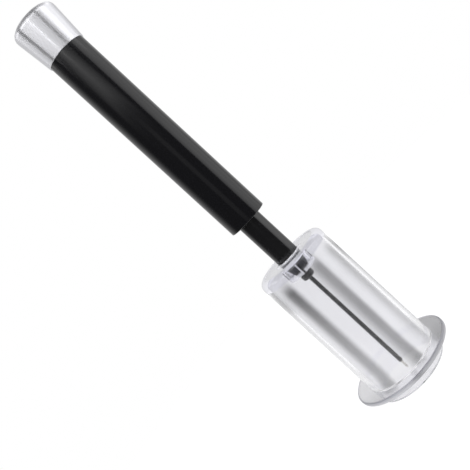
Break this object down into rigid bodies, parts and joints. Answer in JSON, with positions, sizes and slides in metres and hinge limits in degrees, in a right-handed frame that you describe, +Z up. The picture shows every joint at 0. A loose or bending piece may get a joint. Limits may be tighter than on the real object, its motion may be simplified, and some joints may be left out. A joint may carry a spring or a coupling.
{
  "type": "air pump wine opener",
  "caption": "Air pump wine opener: a hollow needle inside a clear guide cup, fed with air by a handle that slides up and down on a hollow rod.",
  "frame": {"origin": "centre of the guide cup's skirt, in the plane of its lower face, on the axis that all the pieces share", "axes": "+Z up along that axis towards the end cap; one slit of the collar faces -Y"},
  "size_m": [0.0494, 0.0494, 0.216],
  "materials": {
    "clear_plastic": "clear moulded plastic, glossy",
    "black_handle": "black anodised, satin",
    "black_rod": "black anodised, smooth satin",
    "black_plastic": "black moulded plastic",
    "pump_plastic": "natural engineering plastic",
    "needle_steel": "bare steel",
    "needle_coating": "black low-friction coating",
    "seal_rubber": "black rubber",
    "valve_brass": "turned",
    "valve_steel": "bright steel",
    "barrel_aluminium": "drawn tube",
    "silver_cap": "fine brushed silver, satin"
  },
  "bodies": {
    "rod": {"pump_rod": "black_rod", "needle_holder": "black_plastic", "holder_o_ring": "seal_rubber", "hub_gasket": "seal_rubber", "needle_hub": "black_plastic", "needle_tube": "needle_steel", "needle_sleeve": "needle_coating", "piston": "pump_plastic", "piston_o_ring": "seal_rubber", "stop_washer": "seal_rubber", "valve_seat": "valve_brass", "valve_spring": "valve_steel"},
    "guide": {"bottle_guide": "clear_plastic"},
    "handle": {"handle_tube": "black_handle", "pump_barrel": "barrel_aluminium", "guide_bush": "black_plastic", "barrel_plug": "pump_plastic", "plug_o_ring": "seal_rubber", "landing_washer": "seal_rubber", "cap_core": "pump_plastic", "cap_screw": "valve_steel", "end_cap": "silver_cap"},
    "ball": {"valve_ball": "valve_steel"}
  },
  "joints": [
    {"name": "guide_slide", "type": "slide", "parent": "rod", "child": "guide", "axis": [0, 0, 1], "range_m": [0, 0.02]},
    {"name": "pump_stroke", "type": "slide", "parent": "rod", "child": "handle", "axis": [0, 0, 1], "range_m": [0, 0.0625]},
    {"name": "valve_lift", "type": "slide", "parent": "rod", "child": "ball", "axis": [0, 0, -1], "range_m": [0, 0.0008], "stiffness_N_per_m": 60, "springref_m": -0.002, "deforming": ["valve_spring"]}
  ]
}
